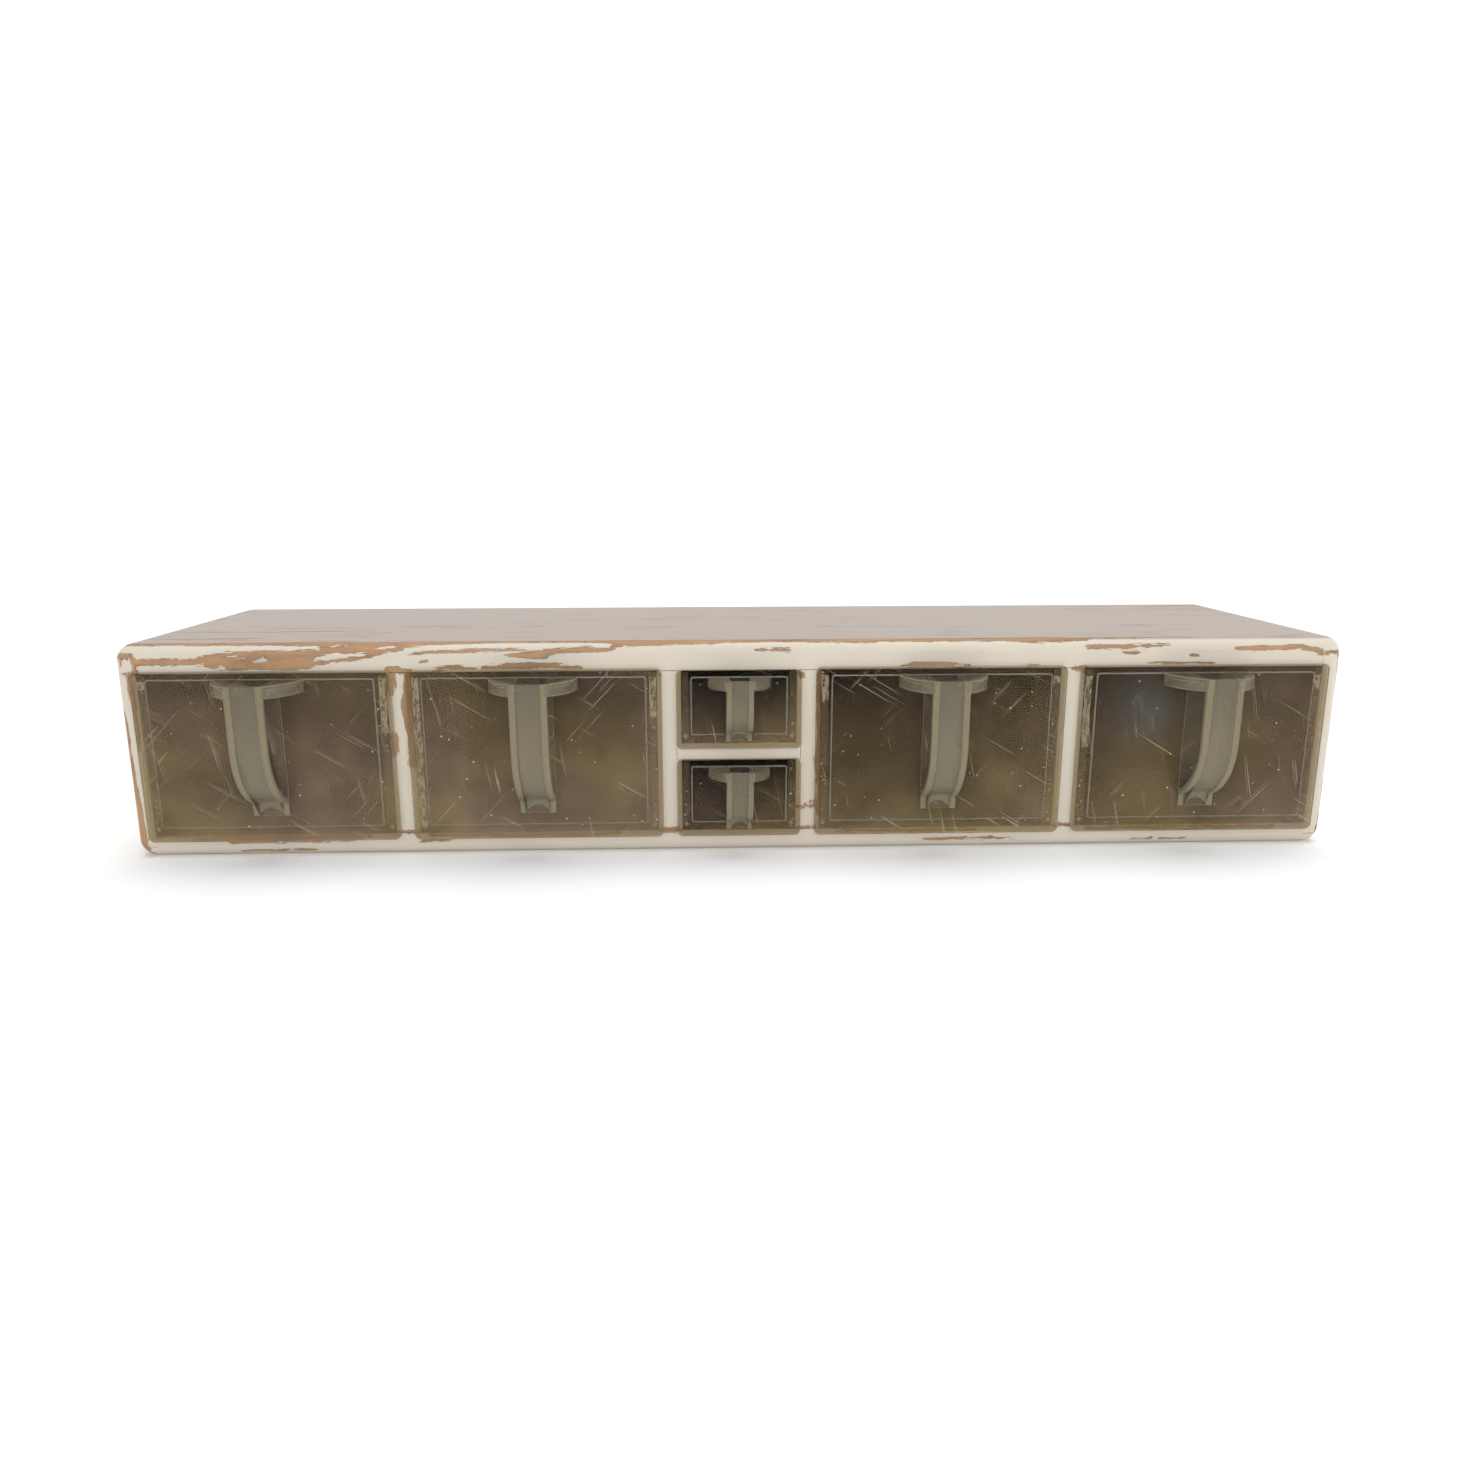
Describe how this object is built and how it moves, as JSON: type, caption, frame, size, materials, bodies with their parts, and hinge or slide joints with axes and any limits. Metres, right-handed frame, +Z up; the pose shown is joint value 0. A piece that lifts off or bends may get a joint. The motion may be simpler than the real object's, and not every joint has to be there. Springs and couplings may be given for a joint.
{
  "type": "parts organizer",
  "caption": "Long low wooden case with clear plastic pull-out drawers in two sizes, each with a hanging strap handle.",
  "frame": {"origin": "centre of the case's underside", "axes": "+X along the case's width, -Y out of the drawer fronts, +Z up"},
  "size_m": [0.7, 0.2035, 0.1245],
  "materials": {
    "painted_wood": "worn cream paint",
    "bare_wood": "bare wood",
    "hardboard": "pressed hardboard",
    "nail_steel": "dull",
    "drawer_plastic": "scratched smoky clear",
    "handle_plastic": "milky translucent"
  },
  "bodies": {
    "case": {"case_top": "painted_wood", "case_bottom": "painted_wood", "case_left_side": "painted_wood", "case_right_side": "painted_wood", "divider_1": "painted_wood", "divider_2": "painted_wood", "divider_3": "painted_wood", "divider_4": "painted_wood", "middle_shelf": "painted_wood", "back_panel": "hardboard", "back_nails": "nail_steel", "divider_dowels": "bare_wood"},
    "drawer_1": {"drawer_1_tray": "drawer_plastic", "drawer_1_front": "drawer_plastic", "drawer_1_handle": "handle_plastic"},
    "drawer_2": {"drawer_2_tray": "drawer_plastic", "drawer_2_front": "drawer_plastic", "drawer_2_handle": "handle_plastic"},
    "upper_small_drawer": {"upper_small_drawer_tray": "drawer_plastic", "upper_small_drawer_front": "drawer_plastic", "upper_small_drawer_handle": "handle_plastic"},
    "lower_small_drawer": {"lower_small_drawer_tray": "drawer_plastic", "lower_small_drawer_front": "drawer_plastic", "lower_small_drawer_handle": "handle_plastic"},
    "drawer_3": {"drawer_3_tray": "drawer_plastic", "drawer_3_front": "drawer_plastic", "drawer_3_handle": "handle_plastic"},
    "drawer_4": {"drawer_4_tray": "drawer_plastic", "drawer_4_front": "drawer_plastic", "drawer_4_handle": "handle_plastic"}
  },
  "joints": [
    {"name": "drawer_1_slide", "type": "slide", "parent": "case", "child": "drawer_1", "axis": [0, -1, 0], "range_m": [0, 0.17]},
    {"name": "drawer_2_slide", "type": "slide", "parent": "case", "child": "drawer_2", "axis": [0, -1, 0], "range_m": [0, 0.17]},
    {"name": "upper_small_drawer_slide", "type": "slide", "parent": "case", "child": "upper_small_drawer", "axis": [0, -1, 0], "range_m": [0, 0.17]},
    {"name": "lower_small_drawer_slide", "type": "slide", "parent": "case", "child": "lower_small_drawer", "axis": [0, -1, 0], "range_m": [0, 0.17]},
    {"name": "drawer_3_slide", "type": "slide", "parent": "case", "child": "drawer_3", "axis": [0, -1, 0], "range_m": [0, 0.17]},
    {"name": "drawer_4_slide", "type": "slide", "parent": "case", "child": "drawer_4", "axis": [0, -1, 0], "range_m": [0, 0.17]}
  ]
}
